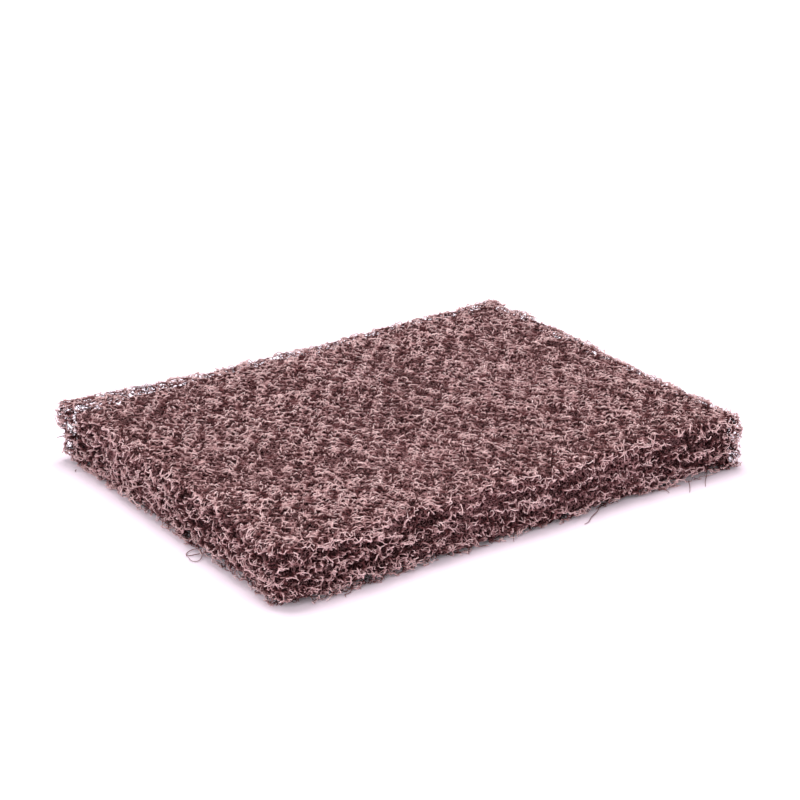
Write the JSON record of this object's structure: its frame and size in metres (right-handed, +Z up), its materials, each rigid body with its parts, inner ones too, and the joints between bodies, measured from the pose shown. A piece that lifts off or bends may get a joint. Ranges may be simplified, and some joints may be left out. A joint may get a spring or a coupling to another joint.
{
  "type": "nylon scouring pad",
  "caption": "Thick rectangular scouring pad of matted, crimped maroon nylon fibre, an open springy web with ragged cut edges, for scrubbing by hand.",
  "frame": {"origin": "middle of the underside, at the level that the pad lies on", "axes": "+X along the length, +Y along the width, +Z up through the thickness"},
  "size_m": [0.1332, 0.1014, 0.015],
  "materials": {
    "abrasive_web": "matt maroon brown, coarse open web of resin-coated fibre"
  },
  "bodies": {
    "root": {"scouring_pad": "abrasive_web"}
  },
  "joints": []
}
